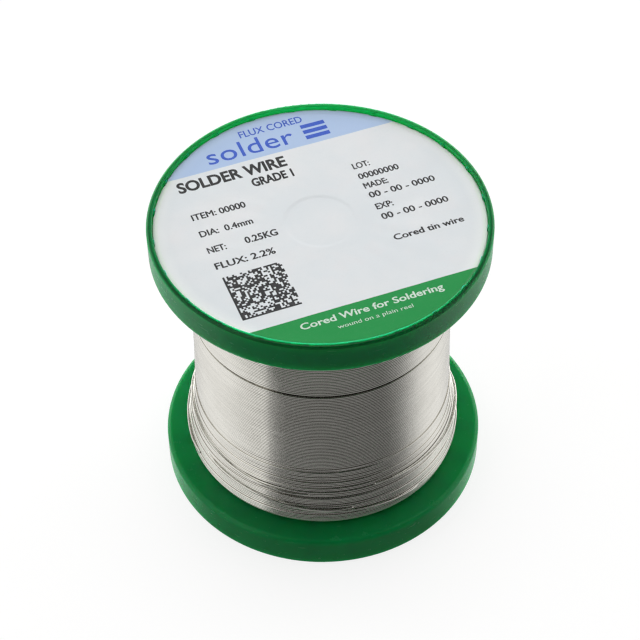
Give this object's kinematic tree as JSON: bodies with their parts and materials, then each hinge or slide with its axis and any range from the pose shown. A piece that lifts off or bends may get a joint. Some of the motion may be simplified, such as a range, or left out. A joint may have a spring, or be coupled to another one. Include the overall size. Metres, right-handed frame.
{
  "type": "solder wire spool",
  "caption": "Small plastic reel with two dished round flanges and a label on top, wound with fine flux-cored solder wire heaped against the lower flange.",
  "frame": {"origin": "centre of the lower rim's resting plane, on the reel's axis", "axes": "+Z along the reel's axis, from the open lower flange to the labelled upper flange; +Y towards the side where the wire's free end leaves"},
  "size_m": [0.063, 0.063, 0.063],
  "materials": {
    "green_plastic": "satin injection-moulded polystyrene",
    "label_paper": "semi-gloss coated paper",
    "solder_wire": "satin drawn tin alloy",
    "flux": "solid amber rosin"
  },
  "bodies": {
    "spool": {"lower_flange": "green_plastic", "upper_flange": "green_plastic", "core_barrel": "green_plastic", "arbor_tube": "green_plastic", "upper_label": "label_paper", "inner_winding": "solder_wire", "outer_winding": "solder_wire", "heaped_turns": "solder_wire", "wire_start_lead": "solder_wire", "start_lead_flux": "flux"},
    "free_end": {"wire_free_end": "solder_wire", "free_end_flux": "flux"}
  },
  "joints": [
    {"name": "wire_payout", "type": "hinge", "parent": "spool", "child": "free_end", "pos_m": [0, 0, 0.014], "axis": [0, 0, 1], "continuous": true}
  ]
}
